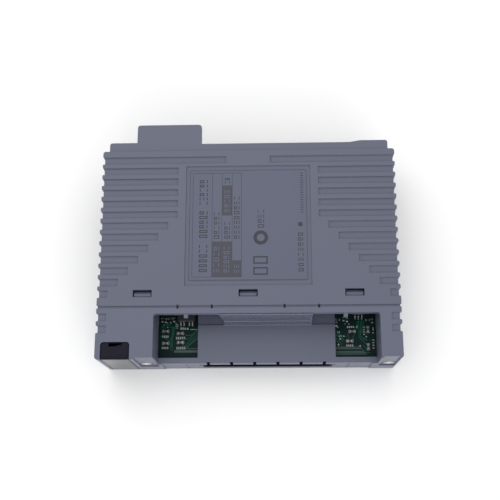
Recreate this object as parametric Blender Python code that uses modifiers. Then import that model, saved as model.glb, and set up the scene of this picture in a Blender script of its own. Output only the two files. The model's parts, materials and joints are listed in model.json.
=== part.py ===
"""A plug-in output module for an industrial control rack, lying on its side.

Metres, +Z up. The label side faces up, the terminal side faces -Y and the rack side faces +Y.
The origin is at the middle of the underside of the whole module's box.
Depths (d) are measured from the front face towards the rack.
"""
import math

import bmesh
import bpy
from mathutils import Matrix, Vector

# ---------------------------------------------------------------- driving sizes
WIDTH = 0.130            # along X, the module's height in its rack
THICK = 0.0328           # along Z, one slot of the rack
TAB_REACH = 0.1063       # depth of the whole module, to the end of the guide tab
REAR_FACE = 0.0970       # depth of the rear wall's outer face
PAD_FACE = 0.0978        # depth of the two seating pads on the rear wall
PAD_RAMP = (0.0455, 0.0500)  # where the right seating pad rises
SEAM_FRONT = 0.0220      # where the front housing ends
SEAM_REAR = 0.0229       # where the rear case begins
BAND_START = 0.0936      # where the ribbed case steps in to the rear band
BAND_STEP = 0.0028       # step of the rear band at the two ends
BAND_DROP = 0.0004       # step of the rear band on the two broad faces
WALL = 0.0020            # moulded wall
GAP = 0.0003             # clearance between pieces that touch
OVER = 0.0010            # how far a cutter or a joined piece runs past a face
REAR_CORNER = 0.0011     # radius of the case's upright corners at the rack side
FRONT_EDGE = 0.0013      # radius of the housing's front edges
HALF = WIDTH / 2
FRONT = -TAB_REACH / 2

# guide tab
TAB_X = (-0.0499, -0.0209)
TAB_THICK = 0.0026
TAB_CORNER = 0.0013
TAB_RIB_THICK = 0.0018
TAB_RIB_INSET = 0.0060   # of each rib's middle from the side of the tab
TAB_RIB_HIGH = 0.0060    # below the tab, at its root
TAB_RIB_END = 0.0015     # from the end of the tab
TAB_RIB_BITE = 0.0012    # how deep a rib is let into the tab

# label
LABEL_RECESS = ((-0.0274, 0.0274), (0.0316, 0.0861))
LABEL_RECESS_DEEP = 0.0006
LABEL_SIZE = ((-0.0259, 0.0259), (0.0338, 0.0843))
LABEL_THICK = 0.0002

# seam
LIP_END = 0.0256         # depth to which the housing's lip reaches into the case
LIP_WALL = 0.0015
NOTCH_PLACES = (-0.0302, -0.0155, 0.0155, 0.0302)
NOTCH_HALF = 0.0004
NOTCH_DEEP = 0.0012

# ribs
RIB_PITCH = 0.00508
GROOVE_WIDE = 0.0030
GROOVE_DEEP = 0.0008     # in the two ends
GROOVE_SHALLOW = 0.0007  # in the two broad faces
FIRST_GROOVE = 0.0906    # rear edge of the groove nearest the rack
GROOVE_ENDS = [0.0098] + [0.0310] * 5 + [0.0351 + 0.00425 * n for n in range(7)]
FRONT_GROOVE_ROWS = (14, 15)
FRONT_GROOVE_END = 0.0607
VENT_ROWS = range(2, 11)
VENT_HALF = 0.0008
VENT_Z = [(0.0160, 0.0280), (0.0030, 0.0072)]

# terminal block recess, open at the front
RECESS = (-0.0404, 0.0558)
RECESS_REAR = 0.0195
RECESS_FLOOR = 0.0164
RECESS_SET_BACK = 0.0004
SET_BACK_X = (-0.0384, 0.0534)
RECESS_CORNER = 0.0010
SHELF_STEP = 0.0006      # the panel drops by this behind the film
UNDER_BAR_REACH = 0.0250  # how far the panel and the recess walls run on under the rear bar
PANEL = (-0.0228, 0.0378)
WINDOW_FRONT = 0.0030
PANEL_THICK = 0.0020
SHELF_START = 0.0175
BLOCK_WALL = 0.0020
BLOCK_TOP = 0.0298       # inner height of the hollow blocks beside the recess
FRONT_WALL = 0.0026
FLOOR_WALL = 0.0018
HOLLOW_REAR = 0.0190     # depth at which the housing's front hollows end
HOUSING_OPEN = 0.0270    # depth past the lip, to which cutters at the open rear run
CATCH_X = (-0.0266, 0.0414)    # two small catches on the bar over the windows
CATCH_HALF = 0.0009
CATCH_Z = (0.0297, 0.0322)
CATCH_REACH = 0.0017
SCORE_X = (-0.0278, 0.0434)    # two fine upright grooves in the front face
SCORE_HALF = 0.0003

# snap latches
LATCH_CENTRES = {"left": -0.0455, "middle": 0.0, "right": 0.0455}
LATCH_WINDOW = 0.0081
LATCH_WIDE = 0.0074
LATCH_WINDOW_D = (0.0268, 0.0299)
LATCH_ROOT = 0.0204
LATCH_THICK = 0.0012
LATCH_PIVOT_D = 0.0207
LATCH_POCKET = 0.0280    # the housing is cut from here to its wall, so that the tongue can flex
LATCH_HOOK_TOP = 0.0318
LATCH_HOOK_FLAT = 0.0012
LATCH_HOOK_REAR = 0.0002  # height of the hook's rear edge above the tongue

# boards
BOARD_THICK = 0.0016
MAIN_BOARD_Z = 0.0103
OUTPUT_BOARD_Z = 0.0203
MAIN_TOP = MAIN_BOARD_Z + BOARD_THICK
OUTPUT_TOP = OUTPUT_BOARD_Z + BOARD_THICK
BOARD_HOLE = 0.0016
BOARD_HALF = 0.0605
BOARD_NECK = (-0.0409, 0.0564)  # the main board's narrow front part, between the blocks
BOARD_D = (0.0031, 0.0912)
SHOULDERS = (0.0100, 0.0096)    # depths of the main board's left and right shoulders
OUTPUT_BOARD = ((-0.0580, 0.0580), (0.0340, 0.0905))
RAIL_INNER = 0.0600      # board rails inside the case
RAIL_FRONT = 0.0300
RAIL_THICK = 0.0014
SPACER_RADIUS = 0.0030
SPACER_BORE = 0.0015
SHANK_RADIUS = 0.0012    # screws of the spacers
SHANK_LONG = 0.0046
HEAD_RADIUS = 0.0027
HEAD_HIGH = 0.0016
SPACER_PLACES = [(-0.0530, 0.0400), (0.0530, 0.0400), (-0.0530, 0.0860), (0.0530, 0.0860)]

# threaded inserts that hold the terminal block
INSERT_X = {"left": -0.0455, "right": 0.0610}
INSERT_Z = 0.0140
INSERT_OUTER = 0.0025
INSERT_BORE = 0.00125
INSERT_LONG = 0.0060
INSERT_POCKET = {"left": (-0.0484, RECESS[0] + 0.0001), "right": (0.0569, 0.0638)}
POCKET_DEEP = 0.0007
POCKET_BELOW = 0.0045    # from the insert's middle down to the pocket's lower edge
INSERT_PROUD = 0.0002
BOSS_RADIUS = 0.0035
BOSS_D = (0.0008, 0.0083)
BOSS_HOLE_END = 0.0070

# front connector
SLOT = (-0.0209, 0.0365)
SLOT_Z = (0.0035, 0.0118)
KEY_FIRST = -0.0181
KEY_PITCH = 0.01018
KEY_COUNT = 6
KEY_WIDE = 0.0013
KEY_TOP = 0.0140
KEY_LEAD = 0.0013        # depth of the lead-in above each key, up to the panel
STOP_GAP = 0.0004        # small upright stops beside the slot's two ends
STOP_WIDE = 0.0010
STOP_Z = (0.0040, 0.0112)
SHELL_SIDE = 0.0015      # how much wider than the slot the connector is behind the wall
SHELL_D = (0.0029, 0.0170)
SHELL_LOW = 0.0022
NOSE_D = (0.0007, 0.0027)
NECK_D = (0.0017, 0.0040)
MOUTH_SIDE = 0.0010
MOUTH_RIM = 0.0006
MOUTH_REAR = 0.0155
FRONT_CONTACTS = {"lower": 0.0054, "upper": 0.0084}
FRONT_CONTACT_COUNT = 20
FRONT_CONTACT_INSET = 0.0035
FRONT_CONTACT_THICK = 0.0004
FRONT_COMB = ((0.0151, 0.0140), 0.0050)    # bar and tooth ends

# rack connector
RACK_SLOT_HALF = 0.0255
RACK_SLOT_Z = (0.0118, 0.0202)
RACK_SHELL_FRONT = 0.0840
RACK_SHELL_PROUD = 0.0004
RACK_MOUTH_FRONT = 0.0858
RACK_MOUTH_SIDE = 0.0014
RACK_MOUTH_RIM = 0.0012
RACK_CONTACTS = {"lower": 0.0147, "upper": 0.0170}
RACK_CONTACT_COUNT = 18
RACK_CONTACT_INSET = 0.0034
RACK_CONTACT_THICK = 0.0005
RACK_COMB = ((0.0862, 0.0874), 0.0930)     # bar and tooth ends

TOOTH_SHARE = 0.32       # a contact's width as a share of the pitch

# the link between the two boards
BOARD_LINK = ((0.0100, 0.0420), (0.0480, 0.0531))
BOARD_LINK_SPLIT = 0.01595

# film in the recess
FILM_X = (-0.0111, 0.0274)
FILM_FRONT = 0.0170
FILM_TOP = 0.0322
FILM_THICK = 0.0003
FILM_SLANT = 0.0015      # how far its left edge leans out over its height

# status window and light guides
LENS_X = (-0.0623, -0.0506)
LENS_BACK = 0.0071
LENS_THICK = 0.0014
LENS_LOW = 0.0022
LENS_CORNER = 0.0012
LENS_CHAMFER = 0.0006
LENS_NOTCH = ((-0.0589, -0.0534), (0.0056, 0.0067))
LENS_NOTCH_DEEP = 0.0005
LIGHT_WAY_Z = (0.0100, 0.0280)
LIGHTS = {"run": -0.0587, "fault": -0.0542}
GUIDE_WIDE = 0.0026
GUIDE_OUTLINE = [(0.0023, 0.0222), (0.0148, 0.0222), (0.0148, 0.0148), (0.0174, 0.0148),
                 (0.0174, 0.0232), (0.0158, 0.0248), (0.0023, 0.0248)]
LED_HALF = 0.0016
LED_D = (0.0149, 0.0173)
LED_TOP = 0.0144

# parts on the boards: name, X range, depth range and height
CHIPS = [
    ("driver_ic_left", (-0.0322, -0.0242), (0.0196, 0.0236), 0.0022),
    ("driver_ic_right", (0.0459, 0.0511), (0.0222, 0.0262), 0.0022),
    ("processor_ic", (-0.0300, -0.0100), (0.0400, 0.0540), 0.0027),
    ("gate_array_ic", (-0.0330, -0.0130), (0.0600, 0.0800), 0.0034),
]
# rows on the output board: name, first X, pitch, count, width, depth range and height
CHIP_ROWS = [
    ("optocoupler", -0.0400, 0.0200, 4, 0.0100, (0.0440, 0.0506), 0.0026),
    ("output_ic", -0.0060, 0.0290, 2, 0.0180, (0.0600, 0.0720), 0.0024),
]
TRANSFORMER_CORE = ((0.0120, 0.0280), (0.0620, 0.0760), 0.0060)
TRANSFORMER_COIL = ((0.0150, 0.0250), (0.0600, 0.0780), (0.0008, 0.0052))
CAN_RADIUS = 0.0031
CAN_HIGH = 0.0066
CAN_EDGE = 0.0003
CAN_PLACES = [(-0.0480, 0.0700), (-0.0400, 0.0700)]

COLOURS = {
    "case_grey": ((0.160, 0.170, 0.222), 0.55, 0.0),
    "front_grey": ((0.165, 0.175, 0.228), 0.55, 0.0),
    "smoked_lens": ((0.014, 0.014, 0.022), 0.12, 0.0),
    "clear_guide": ((0.75, 0.78, 0.80), 0.10, 0.0),
    "label_film": ((0.142, 0.154, 0.210), 0.40, 0.0),
    "clear_film": ((0.30, 0.33, 0.40), 0.15, 0.0),
    "nickel": ((0.62, 0.62, 0.60), 0.28, 1.0),
    "steel": ((0.55, 0.55, 0.56), 0.32, 1.0),
    "gold": ((0.80, 0.58, 0.25), 0.25, 1.0),
    "solder_mask": ((0.010, 0.060, 0.040), 0.35, 0.0),
    "black_plastic": ((0.012, 0.012, 0.014), 0.45, 0.0),
    "chip_black": ((0.018, 0.018, 0.020), 0.50, 0.0),
    "can_sleeve": ((0.020, 0.030, 0.090), 0.35, 0.0),
    "led_green": ((0.05, 0.55, 0.12), 0.20, 0.0),
    "led_red": ((0.62, 0.04, 0.03), 0.20, 0.0),
}


# ---------------------------------------------------------------- helpers
def clear_scene():
    for thing in list(bpy.data.objects):
        bpy.data.objects.remove(thing, do_unlink=True)


def make_collection(name):
    group = bpy.data.collections.new(name)
    bpy.context.scene.collection.children.link(group)
    return group


def make_materials():
    made = {}
    for name, (colour, roughness, metallic) in COLOURS.items():
        material = bpy.data.materials.new(name)
        material.use_nodes = True
        shader = material.node_tree.nodes["Principled BSDF"]
        shader.inputs["Base Color"].default_value = (*colour, 1.0)
        shader.inputs["Roughness"].default_value = roughness
        shader.inputs["Metallic"].default_value = metallic
        made[name] = material
    return made


def place(name, mesh, material=None):
    """An object for the mesh: a visible piece with its material, or a cutter without one."""
    thing = bpy.data.objects.new(name, mesh)
    if material is None:
        cutters.objects.link(thing)
        thing.hide_render = True
        thing.display_type = "WIRE"
    else:
        module.objects.link(thing)
        thing.data.materials.append(materials[material])
    return thing


def finish_mesh(name, bm):
    bmesh.ops.recalc_face_normals(bm, faces=bm.faces)
    mesh = bpy.data.meshes.new(name)
    bm.to_mesh(mesh)
    bm.free()
    return mesh


def add_box(bm, xs, ds, zs):
    size = Vector((xs[1] - xs[0], ds[1] - ds[0], zs[1] - zs[0]))
    centre = Vector((sum(xs) / 2, FRONT + sum(ds) / 2, sum(zs) / 2))
    matrix = Matrix.Translation(centre) @ Matrix.Diagonal((*size, 1.0))
    return bmesh.ops.create_cube(bm, size=1.0, matrix=matrix)["verts"]


def box(name, xs, ds, zs, material=None):
    """One box: X range, depth range from the front face and Z range."""
    bm = bmesh.new()
    add_box(bm, xs, ds, zs)
    return place(name, finish_mesh(name, bm), material)


def boxes(name, ranges, material=None):
    """Separate boxes in one mesh, for a cutter that repeats."""
    bm = bmesh.new()
    for xs, ds, zs in ranges:
        add_box(bm, xs, ds, zs)
    return place(name, finish_mesh(name, bm), material)


def round_edges(bm, radius, wanted, segments=4):
    """Rounds the edges that are wanted, chosen by their midpoint and direction."""
    chosen = []
    for edge in bm.edges:
        a, b = (v.co for v in edge.verts)
        if wanted((a + b) / 2, (b - a).normalized()):
            chosen.append(edge)
    bmesh.ops.bevel(bm, geom=chosen, offset=radius, segments=segments, affect="EDGES",
                    profile=0.5, material=-1)


def rounded_box(name, xs, ds, zs, radius, wanted, material=None):
    bm = bmesh.new()
    add_box(bm, xs, ds, zs)
    round_edges(bm, radius, wanted)
    return place(name, finish_mesh(name, bm), material)


def upright_at(d):
    """Chooses the upright edges that stand at one depth."""
    def wanted(middle, direction):
        return abs(middle.y - FRONT - d) < 1e-6 and abs(direction.z) > 0.9
    return wanted


def turn_to(axis):
    """The rotation that takes +Z to the named axis."""
    return {"X": Matrix.Rotation(math.pi / 2, 4, "Y"),
            "Y": Matrix.Rotation(-math.pi / 2, 4, "X"),
            "Z": Matrix.Identity(4)}[axis]


def cylinder(name, centre, axis, radius, length, material=None, sides=20):
    bm = bmesh.new()
    matrix = Matrix.Translation(Vector(centre)) @ turn_to(axis)
    bmesh.ops.create_cone(bm, cap_ends=True, segments=sides, radius1=radius, radius2=radius,
                          depth=length, matrix=matrix)
    return place(name, finish_mesh(name, bm), material)


def outline(name, points, thickness, matrix, material=None):
    """A flat outline in its own XY plane, given a thickness, made a mesh and placed."""
    curve = bpy.data.curves.new(name, "CURVE")
    curve.dimensions = "2D"
    curve.fill_mode = "BOTH"
    curve.extrude = thickness / 2
    spline = curve.splines.new("POLY")
    spline.points.add(len(points) - 1)
    for point, (u, v) in zip(spline.points, points):
        point.co = (u, v, 0.0, 1.0)
    spline.use_cyclic_u = True
    drawn = bpy.data.objects.new(name, curve)
    bpy.context.scene.collection.objects.link(drawn)
    bpy.context.view_layer.update()
    graph = bpy.context.evaluated_depsgraph_get()
    raw = bpy.data.meshes.new_from_object(drawn.evaluated_get(graph))
    bpy.data.objects.remove(drawn, do_unlink=True)
    bpy.data.curves.remove(curve)
    bm = bmesh.new()
    bm.from_mesh(raw)
    bpy.data.meshes.remove(raw)
    bmesh.ops.remove_doubles(bm, verts=bm.verts, dist=1e-6)
    bmesh.ops.transform(bm, matrix=matrix, verts=bm.verts)
    return place(name, finish_mesh(name, bm), material)


def along_x(x):
    """Outline plane with u along the depth and v along Z, thickness along X."""
    return Matrix(((0, 0, 1, x), (1, 0, 0, FRONT), (0, 1, 0, 0), (0, 0, 0, 1)))


def along_depth(d):
    """Outline plane with u along X and v along Z, thickness along the depth."""
    return Matrix(((1, 0, 0, 0), (0, 0, -1, FRONT + d), (0, 1, 0, 0), (0, 0, 0, 1)))


def along_z(z):
    """Outline plane with u along X and v along the depth, thickness along Z."""
    return Matrix(((1, 0, 0, 0), (0, 1, 0, FRONT), (0, 0, 1, z), (0, 0, 0, 1)))


def turned(name, profile, centre, axis, material, sides=16):
    """A profile of (radius, height) turned about the axis through the centre."""
    mesh = bpy.data.meshes.new(name)
    count = len(profile)
    mesh.from_pydata([(r, 0, h) for r, h in profile],
                     [(n, (n + 1) % count) for n in range(count if profile[-1][0] > 0 else count - 1)], [])
    thing = place(name, mesh, material)
    screw = thing.modifiers.new("turn", "SCREW")
    screw.axis = "Z"
    screw.steps = sides
    screw.render_steps = sides
    screw.use_merge_vertices = True
    screw.merge_threshold = 0.00001
    thing.matrix_world = Matrix.Translation(Vector(centre)) @ turn_to(axis)
    return thing


def combine(target, other, operation):
    step = target.modifiers.new(other.name, "BOOLEAN")
    step.operation = operation
    step.solver = "EXACT"
    step.object = other


def cut(target, *others):
    for other in others:
        combine(target, other, "DIFFERENCE")


def join(target, *others):
    for other in others:
        combine(target, other, "UNION")


def set_origin(thing, point):
    """Moves the object's origin to the point and leaves the shape where it is."""
    thing.data.transform(Matrix.Translation(-Vector(point)))
    thing.location = point


def groove_middle(row):
    """Depth of a groove's middle line. Row 0 is nearest the rack."""
    return FIRST_GROOVE - RIB_PITCH * row - GROOVE_WIDE / 2


def groove_cutter(name, rows):
    """U-shaped bars that cut one groove each: over the top, down the end and under the bottom."""
    bars = []
    for row, inner in rows:
        middle = groove_middle(row)
        for side in (-1, 1):
            top, end = THICK - GROOVE_SHALLOW, HALF - GROOVE_DEEP
            points = [(inner, THICK + OVER), (HALF + OVER, THICK + OVER), (HALF + OVER, -OVER),
                      (inner, -OVER), (inner, GROOVE_SHALLOW), (end, GROOVE_SHALLOW),
                      (end, top), (inner, top)]
            bars.append(outline(name, [(side * u, v) for u, v in points], GROOVE_WIDE,
                                along_depth(middle)))
    bm = bmesh.new()
    for bar in bars:
        bm.from_mesh(bar.data)
        bpy.data.objects.remove(bar, do_unlink=True)
    return place(name, finish_mesh(name, bm))


def arc(cx, cy, radius, start, end, steps):
    """Points on an arc about (cx, cy), from one angle to another in degrees."""
    angles = [math.radians(start + (end - start) * n / steps) for n in range(steps + 1)]
    return [(cx + radius * math.cos(a), cy + radius * math.sin(a)) for a in angles]


# ---------------------------------------------------------------- rear case
def make_rear_case():
    case = rounded_box("rear_case", (-HALF, HALF), (SEAM_REAR, BAND_START), (0, THICK), REAR_CORNER,
                       upright_at(BAND_START), material="case_grey")
    join_rear_band(case)
    join_guide_tab(case)

    cut(case, box("case_hollow", (-HALF + WALL, HALF - WALL), (SEAM_REAR - OVER, BAND_START - WALL),
                  (WALL, THICK - WALL)))
    inner = HALF - BAND_STEP - WALL
    cut(case, box("band_hollow", (-inner, inner), (BAND_START - WALL - OVER, REAR_FACE - WALL),
                  (BAND_DROP + WALL, THICK - BAND_DROP - WALL)))
    join(case, boxes("board_rails", rail_ranges()))

    half = LATCH_WINDOW / 2
    windows = []
    for x in LATCH_CENTRES.values():
        windows.append(((x - half, x + half), LATCH_WINDOW_D, (THICK - WALL - OVER, THICK + OVER)))
        windows.append(((x - half, x + half), LATCH_WINDOW_D, (-OVER, WALL + OVER)))
    cut(case, boxes("latch_windows", windows))
    cut(case, box("label_recess", *LABEL_RECESS, (THICK - LABEL_RECESS_DEEP, THICK + OVER)))
    cut(case, groove_cutter("case_grooves", list(enumerate(GROOVE_ENDS))))
    cut(case, seam_notches("case_notches", (SEAM_REAR - OVER, SEAM_REAR + NOTCH_HALF)))

    vents = []
    for row in VENT_ROWS:
        middle = groove_middle(row)
        for side in (-1, 1):
            xs = sorted((side * (HALF - WALL - OVER), side * (HALF + OVER)))
            vents += [(xs, (middle - VENT_HALF, middle + VENT_HALF), zs) for zs in VENT_Z]
    cut(case, boxes("vent_slots", vents))
    cut(case, box("rack_slot", (-RACK_SLOT_HALF, RACK_SLOT_HALF),
                  (REAR_FACE - WALL - OVER, REAR_FACE + OVER), RACK_SLOT_Z))


def join_rear_band(case):
    """The stepped-in rear band with its two seating pads, the right one ending in a ramp."""
    band_half = HALF - BAND_STEP
    band_z = (BAND_DROP, THICK - BAND_DROP)
    root = REAR_FACE - 2 * REAR_CORNER
    join(case, rounded_box("rear_band", (-band_half, band_half), (BAND_START - OVER, REAR_FACE), band_z,
                           REAR_CORNER, upright_at(REAR_FACE)))

    def outer_corner(middle, direction):
        return upright_at(PAD_FACE)(middle, direction) and abs(middle.x) > band_half - OVER

    pads = {"left": (-band_half, TAB_X[1]), "right": (PAD_RAMP[0], band_half)}
    for side, xs in pads.items():
        join(case, rounded_box(f"seat_pad_{side}", xs, (root, PAD_FACE), band_z, REAR_CORNER, outer_corner))
    ramp = [(PAD_RAMP[0] - OVER, REAR_FACE), (PAD_RAMP[0], REAR_FACE), (PAD_RAMP[1], PAD_FACE),
            (PAD_RAMP[1], PAD_FACE + OVER), (PAD_RAMP[0] - OVER, PAD_FACE + OVER)]
    cut(case, outline("pad_ramp", ramp, THICK + 2 * OVER, along_z(THICK / 2)))


def join_guide_tab(case):
    """The flat tab that guides the module into its rack, with two ribs under it."""
    top = THICK - BAND_DROP
    root = PAD_FACE - OVER
    left, right = TAB_X
    points = [(left, root), (right, root)]
    points += arc(right - TAB_CORNER, TAB_REACH - TAB_CORNER, TAB_CORNER, 0, 90, 4)
    points += arc(left + TAB_CORNER, TAB_REACH - TAB_CORNER, TAB_CORNER, 90, 180, 4)
    join(case, outline("guide_tab", points, TAB_THICK, along_z(top - TAB_THICK / 2)))
    low, high = top - TAB_THICK - TAB_RIB_HIGH, top - TAB_RIB_BITE
    rib = [(root, low), (PAD_FACE + OVER, low), (TAB_REACH - TAB_RIB_END, high), (root, high)]
    for n, x in enumerate((left + TAB_RIB_INSET, right - TAB_RIB_INSET)):
        join(case, outline(f"tab_rib_{n}", rib, TAB_RIB_THICK, along_x(x)))


def rail_ranges():
    """Two rails at each end of the case, below and above the main board's edge."""
    ds = (RAIL_FRONT, BAND_START - WALL + OVER)
    low, high = MAIN_BOARD_Z - GAP, MAIN_TOP + GAP
    rails = []
    for side in (-1, 1):
        xs = sorted((side * RAIL_INNER, side * (HALF - WALL / 2)))
        rails.append((xs, ds, (low - RAIL_THICK, low)))
        rails.append((xs, ds, (high, high + RAIL_THICK)))
    return rails


def seam_notches(name, ds):
    """Small square notches along the seam, on the label side."""
    zs = (THICK - NOTCH_DEEP, THICK + OVER)
    return boxes(name, [((x - NOTCH_HALF, x + NOTCH_HALF), ds, zs) for x in NOTCH_PLACES])


# ---------------------------------------------------------------- front housing
def make_front_housing():
    def front_edge(middle, direction):
        at_front = abs(middle.y - FRONT) < 1e-6
        upright = abs(direction.z) > 0.9
        low = middle.z < 1e-6 and abs(direction.x) > 0.9
        return at_front and (upright or low)

    lip_outer = HALF - WALL - GAP
    lip_low = WALL + GAP
    housing = rounded_box("front_housing", (-HALF, HALF), (0, SEAM_FRONT), (0, THICK), FRONT_EDGE,
                          front_edge, material="front_grey")
    join(housing, box("seam_lip", (-lip_outer, lip_outer), (SEAM_FRONT - OVER, LIP_END),
                      (lip_low, THICK - lip_low)))
    hollow_out(housing, lip_outer - LIP_WALL, lip_low + LIP_WALL)
    open_recess(housing, lip_low + LIP_WALL)
    cut(housing, box("set_back", SET_BACK_X, (-OVER, RECESS_SET_BACK), (-OVER, THICK + OVER)))
    detail_front_face(housing)
    make_insert_seats(housing)
    catch_d = (RECESS_REAR - CATCH_REACH, RECESS_REAR + OVER)
    join(housing, boxes("bar_catches", [((x - CATCH_HALF, x + CATCH_HALF), catch_d, CATCH_Z)
                                        for x in CATCH_X]))
    make_lens_seat(housing)
    cut(housing, groove_cutter("front_grooves", [(n, FRONT_GROOVE_END) for n in FRONT_GROOVE_ROWS]))
    cut(housing, seam_notches("front_notches", (SEAM_FRONT - NOTCH_HALF, SEAM_FRONT + OVER)))

    half = LATCH_WINDOW / 2
    ds = (LATCH_ROOT - GAP, HOUSING_OPEN)
    pockets = []
    for x in LATCH_CENTRES.values():
        pockets.append(((x - half, x + half), ds, (LATCH_POCKET, THICK - WALL)))
        pockets.append(((x - half, x + half), ds, (WALL, THICK - LATCH_POCKET)))
    cut(housing, boxes("latch_pockets", pockets))


def hollow_out(housing, lip_inner, lip_floor):
    """The hollows behind the lip, under the recess and inside the two blocks."""
    under_panel = RECESS_FLOOR - PANEL_THICK
    front_d = (FRONT_WALL, HOLLOW_REAR)
    cut(housing, box("lip_hollow", (-lip_inner, lip_inner), (HOLLOW_REAR - OVER / 2, HOUSING_OPEN),
                     (lip_floor, THICK - lip_floor)))
    cut(housing, box("lower_hollow", (-HALF + WALL, HALF - WALL), front_d, (FLOOR_WALL, under_panel)))
    block_z = (under_panel - OVER, BLOCK_TOP)
    cut(housing, box("left_hollow", (-HALF + WALL, RECESS[0] - BLOCK_WALL), front_d, block_z))
    cut(housing, box("right_hollow", (RECESS[1] + BLOCK_WALL, HALF - WALL), front_d, block_z))


def open_recess(housing, lip_floor):
    """The terminal block's recess, the two windows to the board and the panel between them."""
    under_panel = RECESS_FLOOR - PANEL_THICK
    shelf_top = RECESS_FLOOR - SHELF_STEP
    cut(housing, rounded_box("recess", RECESS, (-OVER, RECESS_REAR), (RECESS_FLOOR, THICK + OVER),
                             RECESS_CORNER, upright_at(RECESS_REAR)))
    cut(housing, box("under_bar", RECESS, (RECESS_REAR - OVER, HOUSING_OPEN), (RECESS_FLOOR, THICK - lip_floor)))
    window_z = (under_panel - OVER, RECESS_FLOOR + OVER)
    for side, xs in (("left", (RECESS[0], PANEL[0])), ("right", (PANEL[1], RECESS[1]))):
        cut(housing, box(f"window_{side}", xs, (WINDOW_FRONT, HOUSING_OPEN), window_z))
    cut(housing, box("panel_step", PANEL, (SHELF_START, HOUSING_OPEN), (shelf_top, RECESS_FLOOR + OVER)))
    rear_d = (SHELF_START - OVER, UNDER_BAR_REACH)
    join(housing, box("rear_shelf", PANEL, rear_d, (under_panel, shelf_top)))
    wall_z = (under_panel, THICK - lip_floor + LIP_WALL / 3)
    join(housing, box("wall_left", (RECESS[0] - BLOCK_WALL, RECESS[0]), rear_d, wall_z))
    join(housing, box("wall_right", (RECESS[1], RECESS[1] + BLOCK_WALL), rear_d, wall_z))


def detail_front_face(housing):
    """The connector slot with its key slots and end stops, and the two fine grooves beside it."""
    cut(housing, box("connector_slot", SLOT, (-OVER, FRONT_WALL + OVER), SLOT_Z))
    keys, leads = [], []
    for n in range(KEY_COUNT):
        x = KEY_FIRST + KEY_PITCH * n
        xs = (x - KEY_WIDE / 2, x + KEY_WIDE / 2)
        keys.append((xs, (-OVER, FRONT_WALL + OVER), (SLOT_Z[1] - OVER, KEY_TOP)))
        leads.append((xs, (-OVER, KEY_LEAD), (KEY_TOP - OVER, RECESS_FLOOR + OVER)))
    cut(housing, boxes("connector_keys", keys))
    cut(housing, boxes("key_leads", leads))
    score_d = (0, RECESS_SET_BACK + SCORE_HALF)
    score_z = (WALL, RECESS_FLOOR + OVER)
    cut(housing, boxes("front_scores", [((x - SCORE_HALF, x + SCORE_HALF), score_d, score_z) for x in SCORE_X]))
    stop_d = (RECESS_SET_BACK / 4, RECESS_SET_BACK + GAP)
    left, right = SLOT[0] - STOP_GAP, SLOT[1] + STOP_GAP
    stops = [(left - STOP_WIDE, left), (right, right + STOP_WIDE)]
    join(housing, boxes("slot_end_stops", [(xs, stop_d, STOP_Z) for xs in stops]))


def make_insert_seats(housing):
    """A boss with a hole for each threaded insert, in a shallow pocket of the front face."""
    for side, x in INSERT_X.items():
        centre = (x, FRONT + sum(BOSS_D) / 2, INSERT_Z)
        join(housing, cylinder(f"insert_boss_{side}", centre, "Y", BOSS_RADIUS, BOSS_D[1] - BOSS_D[0], sides=24))
        centre = (x, FRONT + (BOSS_HOLE_END - OVER) / 2, INSERT_Z)
        cut(housing, cylinder(f"insert_hole_{side}", centre, "Y", INSERT_OUTER + GAP, BOSS_HOLE_END + OVER,
                              sides=24))
        cut(housing, box(f"insert_pocket_{side}", INSERT_POCKET[side], (-OVER, POCKET_DEEP),
                         (INSERT_Z - POCKET_BELOW, THICK + OVER)))


# ---------------------------------------------------------------- status window
def make_lens_seat(housing):
    depth = LENS_THICK + GAP
    xs = (LENS_X[0] - GAP, LENS_X[1] + GAP)
    cut(housing, box("lens_seat_front", xs, (-OVER, depth), (LENS_LOW - GAP, THICK + OVER)))
    back = LENS_BACK + GAP
    cut(housing, rounded_box("lens_seat_top", xs, (-OVER, back), (THICK - depth, THICK + OVER),
                             LENS_CORNER, upright_at(back)))
    cut(housing, box("lens_light_way", (LENS_X[0] + WALL, LENS_X[1] - WALL), (0, FRONT_WALL + LENS_THICK),
                     LIGHT_WAY_Z))


def make_status_window():
    top = THICK
    points = [(0.0, LENS_LOW), (LENS_THICK, LENS_LOW), (LENS_THICK, top - LENS_THICK),
              (LENS_BACK, top - LENS_THICK), (LENS_BACK, top), (LENS_CHAMFER, top), (0.0, top - LENS_CHAMFER)]
    lens = outline("status_lens", points, LENS_X[1] - LENS_X[0], along_x(sum(LENS_X) / 2), "smoked_lens")
    bm = bmesh.new()
    bm.from_mesh(lens.data)
    round_edges(bm, LENS_CORNER, upright_at(LENS_BACK))
    bm.to_mesh(lens.data)
    bm.free()
    cut(lens, box("lens_catch", *LENS_NOTCH, (top - LENS_NOTCH_DEEP, top + OVER)))
    for state, x in LIGHTS.items():
        outline(f"light_guide_{state}", GUIDE_OUTLINE, GUIDE_WIDE, along_x(x), "clear_guide")
        colour = "led_green" if state == "run" else "led_red"
        box(f"status_led_{state}", (x - LED_HALF, x + LED_HALF), LED_D, (MAIN_TOP + GAP, LED_TOP), colour)


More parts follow.
